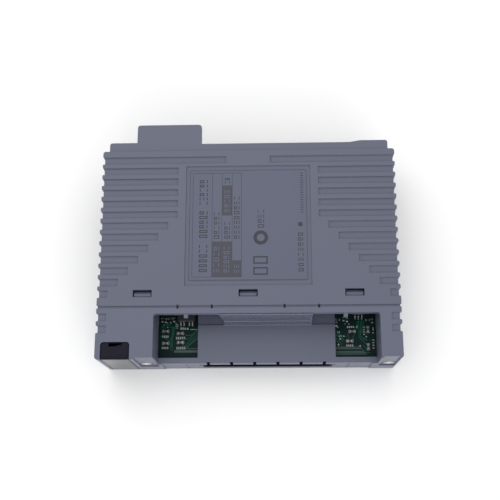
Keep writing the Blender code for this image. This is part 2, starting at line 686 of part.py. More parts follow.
# ---------------------------------------------------------------- latches
def make_latches():
    """Six snap tongues: each hook stands in a case window and flexes inwards at its root."""
    inside = THICK - WALL - GAP
    hook_front = LATCH_WINDOW_D[0] + GAP
    hook_rear = LATCH_WINDOW_D[1] - GAP
    profile = [(LATCH_ROOT, inside - LATCH_THICK), (hook_rear, inside - LATCH_THICK),
               (hook_rear, inside + LATCH_HOOK_REAR), (hook_front + LATCH_HOOK_FLAT, LATCH_HOOK_TOP),
               (hook_front, LATCH_HOOK_TOP), (hook_front, inside), (LATCH_ROOT, inside)]
    pivot_z = inside - LATCH_THICK / 2
    for place_name, x in LATCH_CENTRES.items():
        for face, up in (("label", True), ("under", False)):
            points = [(d, z if up else THICK - z) for d, z in profile]
            latch = outline(f"latch_{face}_{place_name}", points, LATCH_WIDE, along_x(x), "front_grey")
            set_origin(latch, (x, FRONT + LATCH_PIVOT_D, pivot_z if up else THICK - pivot_z))


# ---------------------------------------------------------------- label, film and inserts
def make_outside_fittings():
    label_low = THICK - LABEL_RECESS_DEEP + GAP
    box("type_label", *LABEL_SIZE, (label_low, label_low + LABEL_THICK), "label_film")
    low, back = RECESS_FLOOR + GAP, RECESS_REAR - GAP
    points = [(FILM_FRONT, low), (back, low), (back, FILM_TOP), (back - FILM_THICK, FILM_TOP),
              (back - FILM_THICK, low + FILM_THICK), (FILM_FRONT, low + FILM_THICK)]
    sheet = outline("recess_film", points, FILM_X[1] - FILM_X[0], along_x(sum(FILM_X) / 2), "clear_film")
    slant = FILM_SLANT / (FILM_TOP - low)
    for vertex in sheet.data.vertices:
        if vertex.co.x < 0:
            vertex.co.x -= (vertex.co.z - low) * slant
    for side, x in INSERT_X.items():
        front_d = POCKET_DEEP - INSERT_PROUD
        half = INSERT_LONG / 2
        profile = [(INSERT_OUTER, half), (INSERT_OUTER, -half), (INSERT_BORE, -half), (INSERT_BORE, half)]
        turned(f"threaded_insert_{side}", profile, (x, FRONT + front_d + half, INSERT_Z), "Y",
               "nickel", sides=24)


# ---------------------------------------------------------------- boards
def make_boards():
    (neck_left, neck_right), (front, rear) = BOARD_NECK, BOARD_D
    points = [(neck_left, front), (neck_right, front), (neck_right, SHOULDERS[1]), (BOARD_HALF, SHOULDERS[1]),
              (BOARD_HALF, rear), (-BOARD_HALF, rear), (-BOARD_HALF, SHOULDERS[0]), (neck_left, SHOULDERS[0])]
    main = outline("main_board", points, BOARD_THICK, along_z(MAIN_BOARD_Z + BOARD_THICK / 2),
                   "solder_mask")
    output = box("output_board", *OUTPUT_BOARD, (OUTPUT_BOARD_Z, OUTPUT_TOP), "solder_mask")
    for n, (x, d) in enumerate(SPACER_PLACES, 1):
        hole = cylinder(f"board_hole_{n}", (x, FRONT + d, THICK / 2), "Z", BOARD_HOLE, THICK / 2, sides=12)
        cut(main, hole)
        cut(output, hole)
        make_spacer(n, x, FRONT + d)


def make_spacer(n, x, y):
    """A hexagonal spacer between the boards, with a pan-head screw from above and from below."""
    low, high = MAIN_TOP + GAP, OUTPUT_BOARD_Z - GAP
    centre = (x, y, (low + high) / 2)
    spacer = cylinder(f"board_spacer_{n}", centre, "Z", SPACER_RADIUS, high - low, "nickel", 6)
    cut(spacer, cylinder(f"spacer_bore_{n}", centre, "Z", SPACER_BORE, high - low + OVER, sides=12))
    profile = [(0, HEAD_HIGH), (HEAD_RADIUS * 0.75, HEAD_HIGH), (HEAD_RADIUS, HEAD_HIGH * 0.55), (HEAD_RADIUS, 0),
               (SHANK_RADIUS, 0), (SHANK_RADIUS, -SHANK_LONG), (0, -SHANK_LONG)]
    turned(f"board_screw_top_{n}", profile, (x, y, OUTPUT_TOP + GAP), "Z", "steel", sides=12)
    under = turned(f"board_screw_under_{n}", profile, (x, y, MAIN_BOARD_Z - GAP), "Z", "steel", sides=12)
    under.matrix_world = under.matrix_world @ Matrix.Rotation(math.pi, 4, "X")


def comb(name, xs, count, bar_d, tooth_end, z, thickness, material):
    """One strip of contacts: a bar with teeth that reach to tooth_end."""
    pitch = (xs[1] - xs[0]) / (count - 1)
    tooth = pitch * TOOTH_SHARE
    base, shoulder = bar_d
    points = [(xs[0] - tooth, base)]
    for n in range(count):
        x = xs[0] + pitch * n
        points += [(x - tooth / 2, shoulder), (x - tooth / 2, tooth_end),
                   (x + tooth / 2, tooth_end), (x + tooth / 2, shoulder)]
    points += [(xs[1] + tooth, base)]
    return outline(name, points, thickness, along_z(z), material)


def make_connectors():
    """The front connector hangs under the main board, the rack connector stands on it."""
    body_top = MAIN_BOARD_Z - GAP
    body = box("front_connector_shell", (SLOT[0] - SHELL_SIDE, SLOT[1] + SHELL_SIDE), SHELL_D,
               (SHELL_LOW, body_top), "black_plastic")
    nose_x = (SLOT[0] + GAP, SLOT[1] - GAP)
    nose_z = (SLOT_Z[0] + GAP, SLOT_Z[1] - GAP)
    join(body, box("connector_nose", nose_x, NOSE_D, nose_z))
    join(body, box("connector_neck", nose_x, NECK_D, (nose_z[0], body_top)))
    mouth_x = (nose_x[0] + MOUTH_SIDE, nose_x[1] - MOUTH_SIDE)
    cut(body, box("connector_mouth", mouth_x, (0, MOUTH_REAR), (nose_z[0] + MOUTH_RIM, body_top - MOUTH_RIM)))
    cut(body, box("connector_lead_in", mouth_x, (0, NECK_D[0]), (nose_z[0] + MOUTH_RIM, nose_z[1] - MOUTH_RIM)))
    strip = (nose_x[0] + FRONT_CONTACT_INSET, nose_x[1] - FRONT_CONTACT_INSET)
    for name, z in FRONT_CONTACTS.items():
        comb(f"front_contacts_{name}", strip, FRONT_CONTACT_COUNT, *FRONT_COMB, z, FRONT_CONTACT_THICK, "gold")

    half = RACK_SLOT_HALF - GAP
    zs = (MAIN_TOP + GAP, RACK_SLOT_Z[1] - 2 * GAP)
    shell = box("rack_connector_shell", (-half, half), (RACK_SHELL_FRONT, REAR_FACE + RACK_SHELL_PROUD), zs,
                "black_plastic")
    inner = half - RACK_MOUTH_SIDE
    cut(shell, box("rack_mouth", (-inner, inner), (RACK_MOUTH_FRONT, REAR_FACE + 2 * OVER),
                   (zs[0] + RACK_MOUTH_RIM, zs[1] - RACK_MOUTH_RIM)))
    strip = (-half + RACK_CONTACT_INSET, half - RACK_CONTACT_INSET)
    for name, z in RACK_CONTACTS.items():
        comb(f"rack_contacts_{name}", strip, RACK_CONTACT_COUNT, *RACK_COMB, z, RACK_CONTACT_THICK, "gold")

    split = (BOARD_LINK_SPLIT - GAP / 2, BOARD_LINK_SPLIT + GAP / 2)
    box("board_link_socket", *BOARD_LINK, (MAIN_TOP + GAP, split[0]), "black_plastic")
    box("board_link_plug", *BOARD_LINK, (split[1], OUTPUT_BOARD_Z - GAP), "black_plastic")


def make_components():
    rest = MAIN_TOP + GAP
    for name, xs, ds, high in CHIPS:
        box(name, xs, ds, (rest, rest + high), "chip_black")
    core_x, core_d, core_high = TRANSFORMER_CORE
    coil_x, coil_d, coil_z = TRANSFORMER_COIL
    core = box("isolation_transformer", core_x, core_d, (rest, rest + core_high), "chip_black")
    join(core, box("transformer_coil", coil_x, coil_d, (rest + coil_z[0], rest + coil_z[1])))
    above = OUTPUT_TOP + GAP
    for name, first, pitch, count, wide, ds, high in CHIP_ROWS:
        for n in range(count):
            x = first + pitch * n
            box(f"{name}_{n + 1}", (x, x + wide), ds, (above, above + high), "chip_black")
    profile = [(0, CAN_HIGH), (CAN_RADIUS - CAN_EDGE, CAN_HIGH), (CAN_RADIUS, CAN_HIGH - CAN_EDGE),
               (CAN_RADIUS, 0), (0, 0)]
    for n, (x, d) in enumerate(CAN_PLACES, 1):
        turned(f"filter_capacitor_{n}", profile, (x, FRONT + d, rest), "Z", "can_sleeve", sides=20)


clear_scene()
module = make_collection("output_module")
cutters = make_collection("cutters")
materials = make_materials()
make_rear_case()
make_front_housing()
make_status_window()
make_latches()
make_outside_fittings()
make_boards()
make_connectors()
make_components()
bpy.context.view_layer.update()
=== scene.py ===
import json
import math
import random

import bmesh
import bpy
from mathutils import Matrix, Vector

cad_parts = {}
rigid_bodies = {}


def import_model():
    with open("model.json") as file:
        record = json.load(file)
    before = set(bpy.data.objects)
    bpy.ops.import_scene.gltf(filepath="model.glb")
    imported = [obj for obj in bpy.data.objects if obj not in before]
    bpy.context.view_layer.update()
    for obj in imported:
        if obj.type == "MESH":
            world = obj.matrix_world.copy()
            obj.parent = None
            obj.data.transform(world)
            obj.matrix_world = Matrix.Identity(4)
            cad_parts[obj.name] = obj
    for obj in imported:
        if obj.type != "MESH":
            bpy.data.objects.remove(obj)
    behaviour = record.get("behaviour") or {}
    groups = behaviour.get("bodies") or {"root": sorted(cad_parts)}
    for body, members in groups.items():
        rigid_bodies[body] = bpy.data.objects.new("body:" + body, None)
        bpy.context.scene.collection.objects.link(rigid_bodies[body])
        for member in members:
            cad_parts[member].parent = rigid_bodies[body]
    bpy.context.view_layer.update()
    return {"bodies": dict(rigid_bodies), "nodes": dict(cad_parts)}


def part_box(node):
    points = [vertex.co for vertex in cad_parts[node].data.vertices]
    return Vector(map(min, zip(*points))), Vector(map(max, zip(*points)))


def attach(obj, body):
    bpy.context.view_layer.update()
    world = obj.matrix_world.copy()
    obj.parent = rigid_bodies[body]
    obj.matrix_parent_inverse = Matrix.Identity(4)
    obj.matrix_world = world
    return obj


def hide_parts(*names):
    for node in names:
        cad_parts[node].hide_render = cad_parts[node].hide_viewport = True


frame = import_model()

# ---------------------------------------------------------------- places, in millimetres
# x runs along the module, d is the depth behind the front face and z is the height above the bench.
MM = 0.001
NODES = frame["nodes"]
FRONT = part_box("front_housing")[0].y
MODULE = "module"


def at(x, d, z):
    return Vector((x * MM, FRONT + d * MM, z * MM))


def span(node):
    """The node's box as x, d and z ranges in millimetres."""
    low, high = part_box(node)
    ds = ((low.y - FRONT) / MM, (high.y - FRONT) / MM)
    return (low.x / MM, high.x / MM), ds, (low.z / MM, high.z / MM)


BOARD_TOP = span("main_board")[2][1]
CASE_TOP = span("rear_case")[2][1]
LABEL_RECESS = 0.6
LABEL_FLOOR = CASE_TOP - LABEL_RECESS

# Rounding of the CAD shapes
FLAT_ANGLE = math.radians(1)     # faces that turn by less than this are joined into one
SHARP_ANGLE = math.radians(35)   # edges that turn by more than this are rounded
ROOM_SHARE = 0.42                # a radius takes at most this share of the shortest edge beside it
WIDE_SHARE = 0.78                # the same for an edge with a radius of its own
SAME_PLACE = 1e-6                # corners closer than this, in metres, are one corner


# ---------------------------------------------------------------- mesh helpers
def is_upright(e):
    a, b = (v.co for v in e.verts)
    return abs(a.z - b.z) > 0.9 * (a - b).length


def add_cube(bm, xs, ds, zs):
    """A plain block between the given ranges. Gives back its edges."""
    low, high = at(xs[0], ds[0], zs[0]), at(xs[1], ds[1], zs[1])
    matrix = Matrix.Translation((low + high) / 2) @ Matrix.Diagonal((*(high - low), 1.0))
    corners = bmesh.ops.create_cube(bm, size=1.0, matrix=matrix)["verts"]
    return list({e for v in corners for e in v.link_edges})


def round_off(bm, edges, radius, segments):
    bmesh.ops.bevel(bm, geom=edges, offset=radius * MM, offset_type="OFFSET", segments=segments,
                    profile=0.5, affect="EDGES", clamp_overlap=True, material=-1)


def add_block(bm, xs, ds, zs, edge=0.0, segments=1):
    """A block between the given ranges, with all its edges rounded."""
    edges = add_cube(bm, xs, ds, zs)
    if edge > 0:
        round_off(bm, edges, edge, segments)


def add_plate(bm, xs, ds, zs, corner, segments=4):
    """A thin plate lying flat, with its four upright corners rounded."""
    edges = add_cube(bm, xs, ds, zs)
    round_off(bm, [e for e in edges if is_upright(e)], corner, segments)


def add_frame(bm, xs, ds, stroke, zs):
    """A rectangular frame of the given stroke, lying flat."""
    add_block(bm, xs, (ds[0], ds[0] + stroke), zs)
    add_block(bm, xs, (ds[1] - stroke, ds[1]), zs)
    inner = (ds[0] + stroke, ds[1] - stroke)
    add_block(bm, (xs[0], xs[0] + stroke), inner, zs)
    add_block(bm, (xs[1] - stroke, xs[1]), inner, zs)


def add_strip(bm, points, z, width, thick):
    """A flat strip through the (x, d) points at one height. Each length overruns, to fill the bends."""
    overrun = 0.6 * width
    for start, end in zip(points, points[1:]):
        a, b = at(*start, z), at(*end, z)
        along = b - a
        turn = math.atan2(along.y, along.x)
        size = (along.length + overrun * MM, width * MM, thick * MM, 1.0)
        matrix = Matrix.Translation((a + b) / 2) @ Matrix.Rotation(turn, 4, "Z") @ Matrix.Diagonal(size)
        bmesh.ops.create_cube(bm, size=1.0, matrix=matrix)


def add_lead(bm, root, outward, reach, drop, width, thick=0.18):
    """A gull-wing lead: out of the package, down, and out again along the board."""
    out, slope, foot = 0.35 * reach, 0.15 * reach, 0.5 * reach
    side = Vector((outward.y, outward.x, 0)) * (width * MM / 2)
    up = Vector((0, 0, thick * MM / 2))
    corners = [root - side - up, root + side - up, root + side + up, root - side + up]
    near_end = bm.faces.new([bm.verts.new(c) for c in corners])
    end = near_end
    for step in (outward * out, outward * slope - Vector((0, 0, drop)), outward * foot):
        grown = bmesh.ops.extrude_face_region(bm, geom=[end])["geom"]
        moved = [g for g in grown if isinstance(g, bmesh.types.BMVert)]
        bmesh.ops.translate(bm, verts=moved, vec=step * MM)
        if end is not near_end:
            bmesh.ops.delete(bm, geom=[end], context="FACES_ONLY")
        end = next(g for g in grown if isinstance(g, bmesh.types.BMFace))


def add_turned(bm, profile, centre, axis="Z", steps=24):
    """A profile of (radius, height) in millimetres, spun once about the axis."""
    turn = Matrix.Rotation(-math.pi / 2, 3, "X") if axis == "Y" else Matrix.Identity(3)
    before = set(bm.verts)
    verts = [bm.verts.new(centre + turn @ Vector((r * MM, 0, h * MM))) for r, h in profile]
    edges = [bm.edges.new(pair) for pair in zip(verts, verts[1:])]
    if profile[0][0] > 0 and profile[-1][0] > 0:
        edges.append(bm.edges.new((verts[-1], verts[0])))
    bmesh.ops.spin(bm, geom=verts + edges, cent=centre, axis=turn @ Vector((0, 0, 1)), dvec=(0, 0, 0),
                   angle=math.tau, steps=steps, use_merge=True, use_duplicate=False)
    made = [v for v in bm.verts if v not in before]
    bmesh.ops.remove_doubles(bm, verts=made, dist=SAME_PLACE / 10)


def add_ring(bm, centre, radii, zs, steps):
    """A flat ring between two radii, with its heights counted from the centre."""
    (inner, outer), (low, high) = radii, zs
    add_turned(bm, [(inner, low), (inner, high), (outer, high), (outer, low)], centre, steps=steps)


def finished(name, bm, material, body=MODULE, stands_for=(), smooth=None, recalc=True):
    """The finished piece: its mesh, finish, body and the CAD nodes that it stands for."""
    if recalc:
        bmesh.ops.recalc_face_normals(bm, faces=bm.faces)
    mesh = bpy.data.meshes.new(name)
    bm.to_mesh(mesh)
    bm.free()
    piece = bpy.data.objects.new(name, mesh)
    bpy.context.scene.collection.objects.link(piece)
    mesh.materials.append(material)
    if smooth is not None:
        mesh.shade_smooth()
        mesh.set_sharp_from_angle(angle=math.radians(smooth))
        weighted = piece.modifiers.new("even_normals", "WEIGHTED_NORMAL")
        weighted.keep_sharp = True
    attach(piece, body)
    if stands_for:
        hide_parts(*stands_for)
    return piece


def softened(node, material, edge, wide=None, segments=3, body=MODULE):
    """The CAD node's own shape with the sharp edges of a real moulding rounded off.

    The edges chosen by wide, a function that gives a radius or nothing, get a radius of their own.
    """
    bm = bmesh.new()
    bm.from_mesh(NODES[node].data)
    bmesh.ops.remove_doubles(bm, verts=bm.verts, dist=SAME_PLACE)
    bmesh.ops.dissolve_limit(bm, angle_limit=FLAT_ANGLE, verts=bm.verts, edges=bm.edges)
    weight = bm.edges.layers.float.new("bevel_weight_edge")
    wanted = {}
    for e in bm.edges:
        if len(e.link_faces) == 2 and e.calc_face_angle() > SHARP_ANGLE:
            wanted[e] = (wide(e) if wide else None) or edge
    widest = max([edge, *wanted.values()])
    for e, radius in wanted.items():
        at_ends = {o for v in e.verts for o in v.link_edges if o is not e}
        beside = {o for f in e.link_faces for o in f.edges if o in at_ends}
        room = min(o.calc_length() for o in beside) / MM
        e[weight] = min(radius, room * (WIDE_SHARE if radius > edge else ROOM_SHARE)) / widest
    piece = finished(node + "_fine", bm, material, body=body, stands_for=[node], recalc=False)
    piece.data.shade_smooth()
    rounding = piece.modifiers.new("rounding", "BEVEL")
    rounding.limit_method = "WEIGHT"
    rounding.width = widest * MM
    rounding.segments = segments
    rounding.profile = 0.5
    rounding.use_clamp_overlap = False
    rounding.loop_slide = False
    even = piece.modifiers.new("even_normals", "WEIGHTED_NORMAL")
    even.keep_sharp = False
    return piece


# ---------------------------------------------------------------- material helpers
def new_group(name, inputs, outputs):
    group = bpy.data.node_groups.new(name, "ShaderNodeTree")
    for label, kind, value in inputs:
        socket = group.interface.new_socket(label, in_out="INPUT", socket_type=kind)
        socket.default_value = value
    for label, kind in outputs:
        group.interface.new_socket(label, in_out="OUTPUT", socket_type=kind)
    return group, group.nodes.new("NodeGroupInput"), group.nodes.new("NodeGroupOutput")


def link(tree, source, target):
    tree.links.new(source, target)


def combined(tree, operation, first, second):
    """The outcome of a sum or product of a socket with a number or with another socket."""
    node = tree.nodes.new("ShaderNodeMath")
    node.operation = operation
    link(tree, first, node.inputs[0])
    if isinstance(second, float):
        node.inputs[1].default_value = second
    else:
        link(tree, second, node.inputs[1])
    return node.outputs[0]


def build_grain():
    """Spark-eroded grain of a moulding: a height for bump and a soft tone that varies over the piece."""
    group, ins, outs = new_group("moulded_grain", [("Grain Scale", "NodeSocketFloat", 2600.0),
                                                   ("Tone Scale", "NodeSocketFloat", 45.0)],
                                 [("Height", "NodeSocketFloat"), ("Tone", "NodeSocketFloat")])
    where = group.nodes.new("ShaderNodeTexCoord")
    grain = group.nodes.new("ShaderNodeTexNoise")
    grain.inputs["Detail"].default_value = 3.0
    grain.inputs["Roughness"].default_value = 0.6
    tone = group.nodes.new("ShaderNodeTexNoise")
    tone.inputs["Detail"].default_value = 4.0
    for texture, scale in ((grain, "Grain Scale"), (tone, "Tone Scale")):
        link(group, where.outputs["Object"], texture.inputs["Vector"])
        link(group, ins.outputs[scale], texture.inputs["Scale"])
    link(group, grain.outputs["Fac"], outs.inputs["Height"])
    link(group, tone.outputs["Fac"], outs.inputs["Tone"])
    return group


def build_scuffs():
    """Fine hair scratches and specks: a mask from 0, clean, to 1."""
    group, ins, outs = new_group("fine_scuffs", [("Scale", "NodeSocketFloat", 300.0),
                                                 ("Amount", "NodeSocketFloat", 0.3)],
                                 [("Mask", "NodeSocketFloat")])
    where = group.nodes.new("ShaderNodeTexCoord")
    stretch = group.nodes.new("ShaderNodeMapping")
    stretch.inputs["Rotation"].default_value = (0.2, 0.1, 0.6)
    stretch.inputs["Scale"].default_value = (1.0, 0.06, 1.0)
    noise = group.nodes.new("ShaderNodeTexNoise")
    noise.inputs["Detail"].default_value = 5.0
    link(group, where.outputs["Object"], stretch.inputs["Vector"])
    link(group, stretch.outputs["Vector"], noise.inputs["Vector"])
    link(group, ins.outputs["Scale"], noise.inputs["Scale"])
    ramp = group.nodes.new("ShaderNodeMapRange")
    ramp.inputs["From Min"].default_value = 0.62
    ramp.inputs["From Max"].default_value = 0.75
    link(group, noise.outputs["Fac"], ramp.inputs["Value"])
    mask = combined(group, "MULTIPLY", ramp.outputs["Result"], ins.outputs["Amount"])
    link(group, mask, outs.inputs["Mask"])
    return group


GRAIN = build_grain()
SCUFFS = build_scuffs()
SCUFF_SHARE = 0.5       # how much of a scuff's mask is added to the roughness
MIRROR_LIMIT = 0.02     # no finish is smoother than this


def surface(name, colour, roughness, metallic=0.0, grain=2600.0, relief=0.00002, strength=0.35,
            tone_range=0.05, rough_range=0.08, scuff=0.15, **sockets):
    """A material with grain in its relief, a drifting tone and light scuffs in its gloss."""
    material = bpy.data.materials.new(name)
    material.use_nodes = True
    tree = material.node_tree
    shader = tree.nodes["Principled BSDF"]
    shader.inputs["Metallic"].default_value = metallic
    for label, value in sockets.items():
        shader.inputs[label.replace("_", " ")].default_value = value
    grains = tree.nodes.new("ShaderNodeGroup")
    grains.node_tree = GRAIN
    grains.inputs["Grain Scale"].default_value = grain
    scuffs = tree.nodes.new("ShaderNodeGroup")
    scuffs.node_tree = SCUFFS
    scuffs.inputs["Amount"].default_value = scuff

    tones = tree.nodes.new("ShaderNodeMix")
    tones.data_type = "RGBA"
    tones.inputs["A"].default_value = (*[c * (1 - tone_range) for c in colour], 1.0)
    tones.inputs["B"].default_value = (*[min(1.0, c * (1 + tone_range)) for c in colour], 1.0)
    link(tree, grains.outputs["Tone"], tones.inputs["Factor"])
    link(tree, tones.outputs["Result"], shader.inputs["Base Color"])

    rough = tree.nodes.new("ShaderNodeMapRange")
    rough.inputs["To Min"].default_value = max(MIRROR_LIMIT, roughness - rough_range)
    rough.inputs["To Max"].default_value = roughness + rough_range
    link(tree, grains.outputs["Tone"], rough.inputs["Value"])
    scratched = combined(tree, "MULTIPLY", scuffs.outputs["Mask"], SCUFF_SHARE)
    link(tree, combined(tree, "ADD", rough.outputs["Result"], scratched), shader.inputs["Roughness"])

    bump = tree.nodes.new("ShaderNodeBump")
    bump.inputs["Strength"].default_value = strength
    bump.inputs["Distance"].default_value = relief
    link(tree, grains.outputs["Height"], bump.inputs["Height"])
    link(tree, bump.outputs["Normal"], shader.inputs["Normal"])
    return material


CASE = surface("blue_grey_case", (0.088, 0.096, 0.141), 0.42)
HOUSING = surface("blue_grey_front", (0.090, 0.099, 0.146), 0.40)
LENS = surface("smoked_lens", (0.005, 0.005, 0.013), 0.12, relief=0.000004, strength=0.1, rough_range=0.03,
               Specular_IOR_Level=0.12)
LABEL = surface("label_film", (0.076, 0.086, 0.134), 0.42, grain=900.0, relief=0.000006, strength=0.2)
INK = surface("label_ink", (0.018, 0.018, 0.029), 0.45, grain=1200.0, relief=0.000004, strength=0.2)
BLOCK_INK = surface("label_block_ink", (0.037, 0.037, 0.055), 0.45, grain=1200.0, relief=0.000004)
FILM = surface("clear_film", (0.22, 0.24, 0.34), 0.12, grain=400.0, relief=0.00001, strength=0.2,
               Alpha=0.30, IOR=1.5)
# Painted highlight: an opaque pale finish for the strips that stand for light caught on the clear film's
# edges and fold.
FILM_HIGHLIGHT = surface("film_highlight", (0.30, 0.32, 0.38), 0.25, grain=400.0, relief=0.00001, strength=0.2)
BOARD = surface("solder_mask", (0.002, 0.019, 0.017), 0.36, grain=1500.0, relief=0.00001, tone_range=0.30,
                Specular_IOR_Level=0.12)
TRACE = surface("covered_copper", (0.012, 0.135, 0.085), 0.32, grain=1500.0, relief=0.00001, tone_range=0.3,
                Specular_IOR_Level=0.2)
PALE_TRACE = surface("pale_mask", (0.065, 0.125, 0.108), 0.38, grain=1500.0, relief=0.00001, tone_range=0.2,
                     Specular_IOR_Level=0.3)
SILK = surface("white_legend", (0.36, 0.40, 0.38), 0.55, grain=2000.0, relief=0.00001)
SOLDER = surface("tinned_ends", (0.48, 0.47, 0.46), 0.36, metallic=1.0, grain=1800.0, relief=0.00001)
RESISTOR = surface("chip_body", (0.170, 0.095, 0.080), 0.45, grain=3000.0, relief=0.00001, tone_range=0.15)
EPOXY = surface("package_epoxy", (0.016, 0.016, 0.018), 0.48, grain=3800.0, relief=0.00002, strength=0.5)
BLACK = surface("connector_black", (0.006, 0.006, 0.008), 0.55, grain=2600.0, Specular_IOR_Level=0.06)
GOLD = surface("gold_flash", (0.78, 0.55, 0.22), 0.24, metallic=1.0, grain=1500.0, relief=0.000005)
NICKEL = surface("nickel_plate", (0.50, 0.49, 0.48), 0.34, metallic=1.0, grain=1500.0, relief=0.00001)
STEEL = surface("zinc_steel", (0.55, 0.55, 0.56), 0.32, metallic=1.0, grain=1500.0, relief=0.00001)
GUIDE = surface("clear_guide", (0.85, 0.87, 0.90), 0.08, grain=600.0, relief=0.000004, Alpha=0.45, IOR=1.49)
LED_GREEN = surface("green_light", (0.05, 0.42, 0.10), 0.22, grain=800.0, relief=0.000004)
LED_RED = surface("red_light", (0.50, 0.03, 0.02), 0.22, grain=800.0, relief=0.000004)
TAPE = surface("winding_tape", (0.62, 0.46, 0.08), 0.45, grain=1200.0, relief=0.00002)
FERRITE = surface("ferrite", (0.030, 0.030, 0.032), 0.60, grain=2200.0, relief=0.00004, strength=0.5)
SLEEVE = surface("can_sleeve", (0.016, 0.026, 0.085), 0.34, grain=1200.0, relief=0.000006)


# ---------------------------------------------------------------- housing, case and latches
MOULD_EDGE = 0.18
RIB_BAND = (24.0, 92.0)          # the depths between which the case carries ribs
RIB_START = 28.0                 # ribs lie further than this from the middle
WINDOW_MIDDLE, WINDOW_HALF = 45.5, 4.2      # the latch windows, where the ribs stop
NICK_BAND, NICK_START = (10.0, 21.0), 60.5  # the two short ribs on each end of the housing
END_FACE = 64.0
BROAD_EDGE = 0.75                # edges this close to a broad face belong to it


def rib_radius(e):
    """Larger radii on the ribs: at the two ends, and softer ones along the broad faces."""
    a, b = (v.co for v in e.verts)
    x, d, z = abs(a.x + b.x) / 2 / MM, ((a.y + b.y) / 2 - FRONT) / MM, (a.z + b.z) / 2 / MM
    convex = e.calc_face_angle_signed() > 0
    if is_upright(e) and x > END_FACE and d > 2:
        return 0.60 if convex else 0.19
    along_x = abs(a.x - b.x) > 0.9 * (a - b).length
    broad = z > CASE_TOP - BROAD_EDGE or z < BROAD_EDGE
    on_case = RIB_BAND[0] < d < RIB_BAND[1] and x > RIB_START and abs(x - WINDOW_MIDDLE) > WINDOW_HALF
    on_housing = NICK_BAND[0] < d < NICK_BAND[1] and x > NICK_START
    if along_x and broad and (on_case or on_housing):
        return 0.34 if convex else 0.20
    return None


def make_mouldings():
    softened("rear_case", CASE, edge=MOULD_EDGE, wide=rib_radius)
    softened("front_housing", HOUSING, edge=MOULD_EDGE, wide=rib_radius)
    for body in frame["bodies"]:
        if body != MODULE:
            softened(body, HOUSING, edge=0.12, segments=2, body=body)
    softened("status_lens", LENS, edge=0.25)
    softened("recess_film", FILM, edge=0.05, segments=1)
    # Painted highlights along the clear film's cut edges and fold.
    make_film_highlights()
    make_seam_rim()


def make_film_highlights():
    """Painted highlights: pale opaque strips along the cut edges and the fold of the clear film, where it
    catches the light.
    """
    (x_low, x_high), (d_low, d_high), (z_low, z_high) = span("recess_film")
    film = 0.3              # thickness of the film
    foot_left = -11.1       # left end of its foot
    line = 0.16             # width of a bright line
    proud, fold_high = 0.03, 0.12
    foot_top, wall = z_low + film, d_high - film
    foot_front = d_low + 0.02
    foot_xs = (foot_left, x_high)
    right_xs = (x_high - line, x_high - 0.01)
    bm = bmesh.new()
    add_block(bm, foot_xs, (foot_front, d_low + line), (foot_top, foot_top + proud))
    add_block(bm, foot_xs, (wall - line, wall), (foot_top, foot_top + fold_high))
    add_block(bm, right_xs, (foot_front, wall), (foot_top, foot_top + proud))
    add_block(bm, right_xs, (wall - 0.04, wall), (foot_top, z_high))
    add_block(bm, (x_low + 0.1, x_high), (wall - 0.05, wall), (z_high - 0.3, z_high - 0.02))
    finished("recess_film_highlights", bm, FILM_HIGHLIGHT)


def make_seam_rim():
    """The housing's shallow rim that closes the seam, with the four small notches left open in it."""
    x_low, x_high = span("rear_case")[0]
    sink, thick = 0.60, 1.2
    z_low, z_high = sink, CASE_TOP - sink
    left, right = x_low + 0.5, x_high - 0.5
    ds = (21.6, 22.95)
    notch_half, notches = 0.45, (-30.2, -15.5, 15.5, 30.2)
    ends = [left] + [x + s * notch_half for x in notches for s in (-1, 1)] + [right]
    bm = bmesh.new()
    for start, end in zip(ends[::2], ends[1::2]):
        add_block(bm, (start, end), ds, (z_high - thick, z_high))
    add_block(bm, (left, right), ds, (z_low, z_low + thick))
    add_block(bm, (left, left + thick), ds, (z_low + thick, z_high - thick))
    add_block(bm, (right - thick, right), ds, (z_low + thick, z_high - thick))
    finished("seam_rim", bm, HOUSING)


# ---------------------------------------------------------------- label
LABEL_TOP = LABEL_FLOOR + 0.20
PRINT_FOOT, PRINT_TOP = 0.004, 0.030      # heights of the ink over the label
PRINT = (LABEL_TOP + PRINT_FOOT, LABEL_TOP + PRINT_TOP)

COLUMN_LINES = (-24.3, -15.8, -11.5, -7.0, -2.9)
TABLE_ENDS = (35.5, 82.9)
RULE, BORDER = 0.16, 0.14
BORDER_INSET = 0.25

# Rows of plain signs: x range, depth range, number of signs and what differs from the usual sign.
SIGN_ROWS = (
    ((-21.4, -17.8), (37.6, 50.6), 6, {"stroke": 0.42}),
    ((-21.4, -17.8), (53.0, 65.8), 6, {"stroke": 0.42}),
    ((-21.4, -17.8), (68.2, 80.2), 6, {"stroke": 0.42}),
    ((-15.0, -12.6), (52.6, 65.4), 6, {}),
    ((-10.4, -8.0), (52.6, 60.8), 4, {}),
    ((-10.3, -8.1), (77.9, 81.1), 2, {}),
    ((-6.2, -3.8), (52.4, 72.6), 9, {}),
    ((4.2, 7.0), (57.4, 66.4), 4, {}),
    ((21.7, 23.9), (37.6, 55.8), 8, {}),
    ((23.1, 24.3), (64.2, 83.4), 17, {"gap": 0.42}),
)
DARK_BLOCKS = (((-15.8, -7.0), (35.5, 51.2)), ((-7.0, -2.9), (35.5, 42.7)), ((-11.5, -7.0), (63.1, 77.0)))
REVERSED_ROWS = (
    ((-15.0, -12.6), (37.4, 49.6), 5),
    ((-10.6, -8.2), (37.4, 49.6), 6),
    ((-6.1, -3.9), (37.2, 41.4), 2),
    ((-10.4, -8.2), (64.6, 75.6), 5),
)


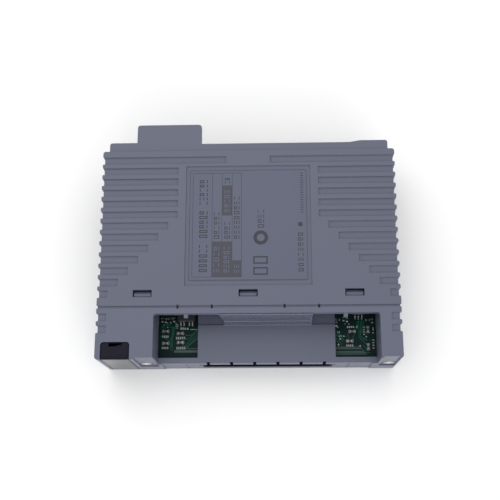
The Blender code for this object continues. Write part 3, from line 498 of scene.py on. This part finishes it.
def add_signs(bm, rng, xs, ds, count, zs, gap=0.30, stroke=0.34):
    """A row of plain signs in place of lettering, running along the depth: open boxes and short bars."""
    narrowest, short_bar, closed_share = 0.85, 0.6, 0.6
    pitch = (ds[1] - ds[0]) / count
    tall = xs[1] - xs[0]
    for n in range(count):
        wide = pitch * (1 - gap) * rng.uniform(narrowest, 1.0)
        start, end = ds[0] + pitch * n, ds[0] + pitch * n + wide
        if tall < 4 * stroke:
            add_block(bm, xs, (start, start + wide * short_bar), zs)
            continue
        bars = rng.choice((2, 3))
        step = (tall - stroke) / (bars - 1)
        for bar in range(bars):
            add_block(bm, (xs[0] + step * bar, xs[0] + step * bar + stroke), (start, end), zs)
        if rng.random() < closed_share:
            inner = (xs[0] + stroke, xs[1] - stroke) if bars == 2 else (xs[0] + stroke, xs[0] + step)
            add_block(bm, inner, (start, start + stroke), zs)
            add_block(bm, inner, (end - stroke, end), zs)


def make_label():
    """The label: its film, rules and border, plain signs, dark blocks and the pale signs on them."""
    (x_low, x_high), (d_low, d_high), _ = span("type_label")
    bm = bmesh.new()
    add_plate(bm, (x_low, x_high), (d_low, d_high), (LABEL_FLOOR + 0.02, LABEL_TOP), corner=0.8)
    finished("type_label_film", bm, LABEL, stands_for=["type_label"])

    bm = bmesh.new()
    for x in COLUMN_LINES:
        add_block(bm, (x - RULE / 2, x + RULE / 2), TABLE_ENDS, PRINT)
    for d in TABLE_ENDS:
        add_block(bm, (COLUMN_LINES[0] - RULE / 2, COLUMN_LINES[-1] + RULE / 2), (d - RULE, d), PRINT)
    border_xs = (x_low + BORDER_INSET, x_high - BORDER_INSET)
    border_ds = (d_low + BORDER_INSET, d_high - BORDER_INSET)
    for x in border_xs:
        add_block(bm, (x - BORDER / 2, x + BORDER / 2), border_ds, PRINT)
    for d in border_ds:
        add_block(bm, border_xs, (d - BORDER / 2, d + BORDER / 2), PRINT)
    finished("label_rules", bm, INK)

    rng = random.Random(7)
    bm = bmesh.new()
    for xs, ds, count, style in SIGN_ROWS:
        add_signs(bm, rng, xs, ds, count, PRINT, **style)
    add_ring(bm, at(5.5, 52.9, LABEL_TOP), radii=(1.7, 3.2), zs=(PRINT_FOOT, PRINT_TOP), steps=40)
    for d in (42.8, 37.9):
        add_frame(bm, (2.2, 8.5), (d - 1.7, d + 1.7), 0.6, PRINT)
    add_block(bm, (21.9, 23.7), (57.9, 59.7), PRINT)
    finished("label_lettering", bm, INK)

    bm = bmesh.new()
    for xs, ds in DARK_BLOCKS:
        add_block(bm, xs, ds, (PRINT[0], PRINT[1] + 0.01))
    finished("label_blocks", bm, BLOCK_INK)
    over = (PRINT[1] + 0.014, PRINT[1] + 0.03)
    bm = bmesh.new()
    for xs, ds, count in REVERSED_ROWS:
        add_signs(bm, rng, xs, ds, count, over)
    finished("label_reversed_lettering", bm, LABEL)


# ---------------------------------------------------------------- board surface
# Chips: x, depth, and whether they stand along the depth.
CHIP_RESISTORS = ((-37.6, 15.5, False), (-37.5, 10.1, False), (-31.0, 14.5, False), (-30.9, 10.4, False),
                  (45.6, 14.9, False), (44.4, 10.6, False), (52.6, 15.7, True), (52.5, 8.0, True))
CHIP_CAPACITORS = ((-39.2, 20.6, True), (-37.6, 20.4, True), (-36.2, 19.4, False), (-35.6, 21.3, False),
                   (-33.9, 20.7, True), (39.3, 20.3, False), (41.9, 20.6, True), (43.4, 20.2, True),
                   (52.6, 20.0, False), (54.5, 19.6, True), (38.6, 18.3, True))

# Traces under the solder mask, as runs of x and depth.
TRACES = (
    ((-34.6, 17.6), (-34.6, 14.0), (-35.2, 12.5), (-35.2, 7.6), (-34.2, 6.6)),
    ((-34.0, 17.6), (-34.0, 14.2), (-34.6, 12.8), (-34.6, 7.9)),
    ((-28.6, 13.6), (-26.2, 13.6), (-23.2, 16.4)),
    ((-28.4, 9.4), (-26.6, 11.2), (-25.0, 12.6), (-23.2, 14.4)),
    ((-28.0, 8.4), (-25.4, 11.0), (-23.2, 13.0)),
    ((-36.0, 17.2), (-33.2, 17.2), (-32.4, 16.6)),
    ((-39.6, 17.9), (-38.6, 17.0), (-37.4, 17.0)),
    ((48.6, 19.8), (48.6, 12.4), (50.4, 10.4), (51.2, 9.4)),
    ((49.3, 19.8), (49.3, 12.8), (51.0, 11.0), (53.6, 11.0)),
    ((50.0, 19.8), (50.0, 16.4), (49.8, 14.0)),
    ((38.4, 14.4), (40.4, 12.6), (42.0, 11.0)),
    ((38.4, 13.4), (39.8, 12.2), (41.4, 10.4)),
    ((46.6, 13.6), (46.0, 12.6), (46.0, 11.6)),
    ((49.0, 7.9), (51.0, 5.6), (53.2, 5.4)),
    ((-28.2, 7.9), (-25.6, 10.2), (-23.2, 12.2)),
    ((-30.6, 12.0), (-27.2, 12.0), (-23.2, 15.6)),
    ((-29.6, 8.8), (-27.2, 8.8), (-26.4, 9.6)),
    ((-39.8, 16.6), (-38.0, 18.4), (-35.4, 18.4)),
    ((-39.8, 13.2), (-36.4, 11.6), (-35.9, 11.0)),
    ((50.7, 19.8), (50.7, 14.8)),
    ((47.9, 19.6), (47.9, 17.8), (46.8, 16.4)),
    ((50.9, 11.9), (52.2, 11.0), (54.6, 11.0)),
    ((38.2, 15.4), (40.2, 13.6), (41.6, 12.6), (43.0, 12.6)),
    ((38.2, 12.2), (40.2, 10.2), (40.9, 9.0)),
    ((38.2, 11.0), (39.4, 9.8), (39.4, 8.4)),
    ((43.4, 13.6), (44.0, 12.6), (44.0, 11.6)),
    ((50.4, 8.6), (51.6, 7.2), (51.6, 6.2)),
)

# Rows of dashes beside the chips: x range, depth, height of a dash along the depth, number of dashes.
DASH_ROWS = (
    ((-39.2, -36.0), 13.1, 1.0, 4), ((-39.2, -36.0), 8.0, 1.0, 4), ((-32.9, -28.6), 12.4, 1.1, 5),
    ((-32.7, -28.4), 7.9, 1.1, 5), ((-31.0, -29.3), 16.7, 1.0, 2), ((-29.2, -27.0), 16.6, 0.9, 2),
    ((43.4, 46.8), 16.9, 0.8, 4), ((42.8, 46.2), 8.6, 0.8, 4), ((39.0, 40.4), 14.6, 0.7, 2),
    ((39.6, 41.0), 12.9, 0.7, 2), ((47.6, 48.2), 17.0, 1.4, 1), ((54.7, 55.3), 16.0, 1.6, 1),
)
SIGN_COLUMNS = (((-33.2, -32.0), (16.8, 19.0), 3), ((50.4, 51.3), (13.4, 17.6), 4),
                ((54.4, 55.2), (7.2, 12.0), 4))
VIAS = ((-36.8, 17.4), (-33.0, 19.0), (-38.4, 18.4), (39.2, 16.9), (44.2, 18.2), (42.6, 18.4), (41.8, 12.8),
        (40.2, 11.6), (51.8, 12.5), (48.9, 8.4), (54.8, 14.2), (39.4, 9.0))
SKIN = (BOARD_TOP, BOARD_TOP + 0.03)      # the height of what is printed or plated on the board
SKIN_MIDDLE = BOARD_TOP + 0.02


def make_board_surface():
    for node in ("main_board", "output_board"):
        softened(node, BOARD, edge=0.06, segments=1)

    bm = bmesh.new()
    for run in TRACES:
        add_strip(bm, run, SKIN_MIDDLE, width=0.24, thick=0.035)
    finished("board_traces", bm, TRACE)

    bm = bmesh.new()
    add_block(bm, (-33.6, -23.0), (5.9, 6.9), SKIN)
    add_block(bm, (-28.4, -23.0), (7.5, 7.8), SKIN)
    rear_track, rear_end, half = 7.9, 48.8, 0.18
    for d in (rear_track, 7.2, 6.0, 5.4, 4.8):
        add_block(bm, (38.0, rear_end + (rear_track - d)), (d - half, d + half), SKIN)
    finished("board_pale_tracks", bm, PALE_TRACE)
    make_chips("resistor", CHIP_RESISTORS, RESISTOR)
    make_chips("capacitor", CHIP_CAPACITORS, EPOXY)
    make_legend()
    make_vias()


def make_chips(kind, places, finish):
    """Small chips with a metal cap at each end, soldered on pads a little longer than the caps."""
    long, wide, high, cap = 1.75, 0.95, 0.50, 0.30
    pad_reach, pad_high = 0.2, 0.05
    inner = long / 2 - cap
    z_low, z_high = BOARD_TOP + 0.06, BOARD_TOP + 0.06 + high
    cap_zs = (z_low - 0.03, z_high + 0.02)
    pad_zs = (BOARD_TOP, BOARD_TOP + pad_high)
    bodies, ends = bmesh.new(), bmesh.new()
    for x, d, along_depth in places:
        middle, level = (d, x) if along_depth else (x, d)
        across = (level - wide / 2, level + wide / 2)

        def ranges(start, end):
            along = (min(start, end), max(start, end))
            return (across, along) if along_depth else (along, across)

        add_block(bodies, *ranges(middle - inner, middle + inner), (z_low, z_high), edge=0.04)
        for side in (-1, 1):
            root, tip = middle + side * inner, middle + side * long / 2
            add_block(ends, *ranges(root, tip), cap_zs, edge=0.06, segments=2)
            add_block(ends, *ranges(root, tip + side * pad_reach), pad_zs)
    finished(f"chip_{kind}_bodies", bodies, finish)
    finished(f"chip_{kind}_ends", ends, SOLDER)


def make_legend():
    """White legend on the board: brackets round the chips, and plain dashes and signs beside them."""
    bm = bmesh.new()
    reach, half, lip = 1.50, 0.75, 0.35
    corners = ((reach - lip, -half), (reach, -half / 2), (reach, half / 2), (reach - lip, half))
    for x, d, along_depth in CHIP_RESISTORS:
        for side in (-1, 1):
            if along_depth:
                bracket = [(x + across, d + side * along) for along, across in corners]
            else:
                bracket = [(x + side * along, d + across) for along, across in corners]
            add_strip(bm, bracket, SKIN_MIDDLE, width=0.22, thick=0.03)
    dash_share = 0.62
    for (x_low, x_high), d, high, count in DASH_ROWS:
        pitch = (x_high - x_low) / count
        for n in range(count):
            start = x_low + pitch * n
            add_block(bm, (start, start + pitch * dash_share), (d - high / 2, d + high / 2), SKIN)
    for xs, ds, count in SIGN_COLUMNS:
        add_signs(bm, random.Random(3), xs, ds, count, SKIN)
    add_block(bm, (-26.6, -23.0), (16.1, 16.4), SKIN)
    finished("board_legend", bm, SILK)


def make_vias():
    bm = bmesh.new()
    for x, d in VIAS:
        add_ring(bm, at(x, d, BOARD_TOP), radii=(0.12, 0.30), zs=(0.01, 0.045), steps=12)
    finished("board_vias", bm, SOLDER)


# ---------------------------------------------------------------- packages on the boards
OUTWARD = {"front": (0, -1), "rear": (0, 1), "left": (-1, 0), "right": (1, 0)}
LEAD_ROOT = 0.1         # how far a lead starts inside its package
LEAD_SHARE = 0.36       # a lead's width as a share of the pitch
LEAD_LEVEL = 0.45       # where it leaves the package, as a share of the package's height
BOARD_GAP = 0.18        # from the package's underside down to the middle of a lead's foot


def make_package(node, sides, pitch, lead_reach=1.5, places=None):
    """A moulded package with gull-wing leads on the named sides, at an even pitch or at the given places."""
    xs, ds, zs = span(node)
    bm = bmesh.new()
    add_block(bm, xs, ds, zs, edge=0.22)
    dot_inset, dot_radius, dot_proud, dot_sunk = 1.1, 0.38, 0.012, -0.02
    dot = at(xs[0] + dot_inset, ds[0] + dot_inset, zs[1])
    profile = [(0, dot_proud), (dot_radius, dot_proud), (dot_radius, dot_sunk), (0, dot_sunk)]
    add_turned(bm, profile, dot, steps=16)
    finished(node + "_body", bm, EPOXY, stands_for=[node])

    leads = bmesh.new()
    level = (zs[1] - zs[0]) * LEAD_LEVEL
    for side in sides:
        out_x, out_d = OUTWARD[side]
        outward = Vector((out_x, out_d, 0))
        low, high = xs if out_d else ds
        count = int((high - low - 0.8) / pitch) + 1
        first = (low + high) / 2 - pitch * (count - 1) / 2
        for place in places or [first + pitch * n for n in range(count)]:
            if out_d:
                root = at(place, ds[out_d > 0], zs[0] + level)
            else:
                root = at(xs[out_x > 0], place, zs[0] + level)
            root -= outward * (LEAD_ROOT * MM)
            add_lead(leads, root, outward, lead_reach, drop=level + BOARD_GAP, width=pitch * LEAD_SHARE)
    finished(node + "_leads", leads, SOLDER)


def make_packages():
    two_rows = ("front", "rear")
    four_rows = ("front", "rear", "left", "right")
    make_package("driver_ic_left", two_rows, 1.3, lead_reach=1.9, places=(-30.8, -29.4, -27.0, -25.6))
    make_package("driver_ic_right", two_rows, 1.5, lead_reach=2.1)
    make_package("processor_ic", four_rows, 1.0)
    make_package("gate_array_ic", four_rows, 1.0)
    for n in (1, 2):
        make_package(f"output_ic_{n}", two_rows, 1.27)
    for n in range(1, 5):
        make_package(f"optocoupler_{n}", two_rows, 2.54)


def make_transformer():
    xs, ds, zs = span("isolation_transformer")
    winding_out, inset = 2.0, 3.0      # how far the winding shows in depth, and is set in along x
    bm = bmesh.new()
    add_block(bm, xs, (ds[0] + winding_out, ds[1] - winding_out), zs, edge=0.4, segments=2)
    finished("transformer_core", bm, FERRITE, stands_for=["isolation_transformer"])
    bm = bmesh.new()
    add_block(bm, (xs[0] + inset, xs[1] - inset), ds, (zs[0] + 0.8, zs[1] + 0.01), edge=0.9, segments=3)
    finished("transformer_winding", bm, TAPE)


def make_capacitor(node):
    """An upright can in a sleeve: a sunk lid with a soft rim, and the groove that holds the seal."""
    xs, ds, zs = span(node)
    radius = (xs[1] - xs[0]) / 2
    high = zs[1] - zs[0]
    lid = high - 0.15
    rim = [(radius - 0.7, lid), (radius - 0.5, high), (radius - 0.15, high - 0.1), (radius, high - 0.4)]
    groove = [(radius, 1.6), (radius - 0.2, 1.35), (radius, 1.1)]
    foot = [(radius, 0.2), (radius - 0.15, 0), (0, 0)]
    bm = bmesh.new()
    add_turned(bm, [(0, lid)] + rim + groove + foot, at(sum(xs) / 2, sum(ds) / 2, zs[0]), steps=32)
    finished(node + "_can", bm, SLEEVE, stands_for=[node], smooth=40)


def make_power_parts():
    make_transformer()
    for n in (1, 2):
        make_capacitor(f"filter_capacitor_{n}")


# ---------------------------------------------------------------- metal parts
def make_insert(node):
    """A threaded insert, its axis along the depth, with the thread as rings down the bore."""
    xs, ds, zs = span(node)
    outer, long = (xs[1] - xs[0]) / 2, ds[1] - ds[0]
    bore, crest, pitch = 1.5, 1.27, 0.5
    edge, first_turn, plain = 0.15, 0.3, 0.6
    mouth = 0.25
    profile = [(bore + mouth, 0), (outer - edge, 0), (outer, edge), (outer, long - edge),
               (outer - edge, long), (bore, long)]
    for n in range(int((long - plain) / pitch)):
        start = long - first_turn - pitch * n
        profile += [(bore, start), (crest, start - pitch * 0.4), (crest, start - pitch * 0.55),
                    (bore, start - pitch * 0.95)]
    bm = bmesh.new()
    add_turned(bm, profile, at(sum(xs) / 2, ds[0], sum(zs) / 2), axis="Y", steps=40)
    finished(node + "_fine", bm, NICKEL, stands_for=[node], smooth=30)


def make_screw(node, head_up):
    """A pan-head screw with a round socket in its head."""
    xs, ds, zs = span(node)
    head, shank, head_high = 2.7, 1.2, 1.6
    socket, chamfer = 0.95, 0.35
    long = zs[1] - zs[0] - head_high
    profile = [(0, head_high - 0.9), (socket, head_high - 0.8), (socket, head_high - 0.05),
               (socket + 0.1, head_high), (head * 0.62, head_high - 0.06), (head * 0.86, head_high * 0.78),
               (head * 0.98, head_high * 0.45), (head, 0.12), (head - 0.1, 0), (shank, 0),
               (shank, -long + 0.4), (shank - chamfer, -long), (0, -long)]
    base = zs[1] - head_high if head_up else zs[0] + head_high
    sign = 1 if head_up else -1
    bm = bmesh.new()
    add_turned(bm, [(r, h * sign) for r, h in profile], at(sum(xs) / 2, sum(ds) / 2, base), steps=24)
    finished(node + "_fine", bm, STEEL, stands_for=[node], smooth=35)


def make_metal_parts():
    for side in ("left", "right"):
        make_insert(f"threaded_insert_{side}")
    for n in range(1, 5):
        softened(f"board_spacer_{n}", NICKEL, edge=0.12)
        make_screw(f"board_screw_top_{n}", head_up=True)
        make_screw(f"board_screw_under_{n}", head_up=False)


# ---------------------------------------------------------------- connectors and lights
def make_connectors():
    softened("front_connector_shell", BLACK, edge=0.15)
    softened("rack_connector_shell", BLACK, edge=0.20)
    for place in ("front", "rack"):
        for row in ("lower", "upper"):
            softened(f"{place}_contacts_{row}", GOLD, edge=0.07, segments=1)
    for half in ("socket", "plug"):
        softened(f"board_link_{half}", BLACK, edge=0.2)


def make_lights():
    for state, finish, slot in (("run", LED_GREEN, "led_green"), ("fault", LED_RED, "led_red")):
        softened(f"light_guide_{state}", GUIDE, edge=0.2)
        softened(f"status_led_{state}", finish, edge=0.25)


# ---------------------------------------------------------------- floor, light and camera
FLOOR_SIZE = 6.0        # in metres, as are the places of the lamps
FLOOR_DROP = 0.00005
FLOOR_TONE = (0.90, 0.90, 0.90, 1.0)
SKY_TONE, SKY_STRENGTH = (1.0, 1.0, 1.0, 1.0), 0.96
LAMPS = (("key_panel", (-0.35, 0.70, 0.95), 1.4, 5.0), ("front_panel", (0.25, -1.1, 0.42), 1.0, 5.0))
LENS_LENGTH = 62.61
CAMERA_PLACE = (12.0, -52.17, 395.77)
TURN, TILT, ROLL = (math.radians(a) for a in (6.42, 15.40, -6.73))


def make_floor():
    bm = bmesh.new()
    bmesh.ops.create_grid(bm, x_segments=2, y_segments=2, size=FLOOR_SIZE / 2)
    mesh = bpy.data.meshes.new("floor")
    bm.to_mesh(mesh)
    bm.free()
    floor = bpy.data.objects.new("floor", mesh)
    bpy.context.scene.collection.objects.link(floor)
    floor.location.z = -FLOOR_DROP
    pale = bpy.data.materials.new("pale_floor")
    pale.use_nodes = True
    shader = pale.node_tree.nodes["Principled BSDF"]
    shader.inputs["Base Color"].default_value = FLOOR_TONE
    shader.inputs["Roughness"].default_value = 0.7
    mesh.materials.append(pale)


def make_light():
    world = bpy.data.worlds.new("studio")
    bpy.context.scene.world = world
    world.use_nodes = True
    sky = world.node_tree.nodes["Background"]
    sky.inputs["Color"].default_value = SKY_TONE
    sky.inputs["Strength"].default_value = SKY_STRENGTH
    for name, place, size, power in LAMPS:
        data = bpy.data.lights.new(name, "AREA")
        data.size = size
        data.energy = power
        lamp = bpy.data.objects.new(name, data)
        bpy.context.scene.collection.objects.link(lamp)
        lamp.location = place
        lamp.rotation_euler = (-Vector(place)).to_track_quat("-Z", "Y").to_euler()
    bpy.context.scene.view_settings.view_transform = "Standard"


def make_camera():
    """The view from above the front edge, a little to the right, rolled slightly."""
    data = bpy.data.cameras.new("camera")
    data.sensor_width = 36.0
    data.lens = LENS_LENGTH
    data.clip_start = 0.01
    camera = bpy.data.objects.new("camera", data)
    bpy.context.scene.collection.objects.link(camera)
    camera.matrix_world = (Matrix.Translation(at(*CAMERA_PLACE)) @ Matrix.Rotation(TURN, 4, "Z")
                           @ Matrix.Rotation(TILT, 4, "X") @ Matrix.Rotation(ROLL, 4, "Z"))
    bpy.context.scene.camera = camera


make_camera()
make_floor()
make_light()
make_mouldings()
make_label()
make_board_surface()
make_packages()
make_power_parts()
make_metal_parts()
make_connectors()
make_lights()
